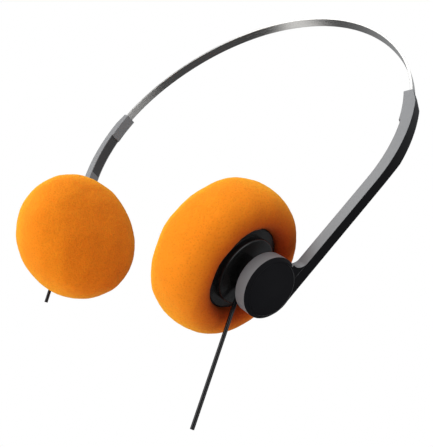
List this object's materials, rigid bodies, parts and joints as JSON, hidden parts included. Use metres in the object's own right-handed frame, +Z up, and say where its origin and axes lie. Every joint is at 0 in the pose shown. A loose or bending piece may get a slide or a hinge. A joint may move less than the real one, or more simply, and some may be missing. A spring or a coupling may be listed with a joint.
{
  "type": "foam pad headphones",
  "caption": "Light on-ear headphones: sprung steel headband, sliding curved arms with round end drums, ball-jointed ear capsules and orange foam pads.",
  "frame": {"origin": "midpoint between the centres of the two foam pads", "axes": "+Z up towards the crown of the headband, X from ear to ear with +X at the left ear, the wearer faces -Y"},
  "size_m": [0.1556, 0.052, 0.1819],
  "materials": {
    "band_steel": "polished stainless spring steel",
    "moulded_stop": "moulded",
    "arm_plastic": "satin moulded black",
    "cover_plastic": "fine matt",
    "spring_steel": "rolled",
    "cap_plastic": "satin moulded black",
    "liner_plastic": "natural",
    "stud_steel": "turned and polished",
    "brass": "stamped",
    "shell_plastic": "moulded black",
    "grille_metal": "black paint",
    "frame_plastic": "moulded",
    "film": "thin clear film",
    "copper_coil": "enamelled wire",
    "iron": "zinc plated",
    "magnet": "plated",
    "felt": "pressed felt",
    "board": "laminate",
    "lead_rubber": "smooth black vinyl",
    "copper_wire": "drawn",
    "foam": "open-cell orange foam"
  },
  "bodies": {
    "headband": {"headband": "band_steel", "left_band_stop": "moulded_stop", "right_band_stop": "moulded_stop"},
    "left_arm": {"left_arm": "arm_plastic", "left_channel_cover": "cover_plastic", "left_friction_spring": "spring_steel", "left_drum_cap": "cap_plastic"},
    "left_liner": {"left_socket_liner": "liner_plastic"},
    "left_capsule": {"left_ball_stud": "stud_steel", "left_push_nut": "brass", "left_rear_shell": "shell_plastic", "left_baffle": "shell_plastic", "left_grille": "grille_metal", "left_driver_frame": "frame_plastic", "left_diaphragm": "film", "left_voice_coil": "copper_coil", "left_pole_plate": "iron", "left_magnet": "magnet", "left_yoke": "iron", "left_damping_felt": "felt", "left_terminal_board": "board", "left_strain_relief": "lead_rubber", "left_lead": "lead_rubber", "left_lead_core": "copper_wire", "left_foam_pad": "foam"},
    "right_arm": {"right_arm": "arm_plastic", "right_channel_cover": "cover_plastic", "right_friction_spring": "spring_steel", "right_drum_cap": "cap_plastic"},
    "right_liner": {"right_socket_liner": "liner_plastic"},
    "right_capsule": {"right_ball_stud": "stud_steel", "right_push_nut": "brass", "right_rear_shell": "shell_plastic", "right_baffle": "shell_plastic", "right_grille": "grille_metal", "right_driver_frame": "frame_plastic", "right_diaphragm": "film", "right_voice_coil": "copper_coil", "right_pole_plate": "iron", "right_magnet": "magnet", "right_yoke": "iron", "right_damping_felt": "felt", "right_terminal_board": "board", "right_strain_relief": "lead_rubber", "right_lead": "lead_rubber", "right_lead_core": "copper_wire", "right_foam_pad": "foam"}
  },
  "joints": [
    {"name": "left_arm_extend", "type": "hinge", "parent": "headband", "child": "left_arm", "pos_m": [0.01, 0.01031, 0.0602], "axis": [0, 1, 0], "range_deg": [-6.08, 10.42]},
    {"name": "left_capsule_tilt", "type": "hinge", "parent": "left_arm", "child": "left_liner", "pos_m": [0.05482, 0.00316, -0.00613], "axis": [0, 1, 0], "range_deg": [-9, 9]},
    {"name": "left_capsule_swivel", "type": "hinge", "parent": "left_liner", "child": "left_capsule", "pos_m": [0.05482, 0.00316, -0.00613], "axis": [0.342, 0, 0.9397], "range_deg": [-21, 1]},
    {"name": "right_arm_extend", "type": "hinge", "parent": "headband", "child": "right_arm", "pos_m": [-0.01, 0.01031, 0.0602], "axis": [0, -1, 0], "range_deg": [-6.08, 10.42]},
    {"name": "right_capsule_tilt", "type": "hinge", "parent": "right_arm", "child": "right_liner", "pos_m": [-0.05482, 0.00316, -0.00613], "axis": [0, -1, 0], "range_deg": [-9, 9]},
    {"name": "right_capsule_swivel", "type": "hinge", "parent": "right_liner", "child": "right_capsule", "pos_m": [-0.05482, 0.00316, -0.00613], "axis": [0.342, 0, -0.9397], "range_deg": [-21, 1]}
  ]
}
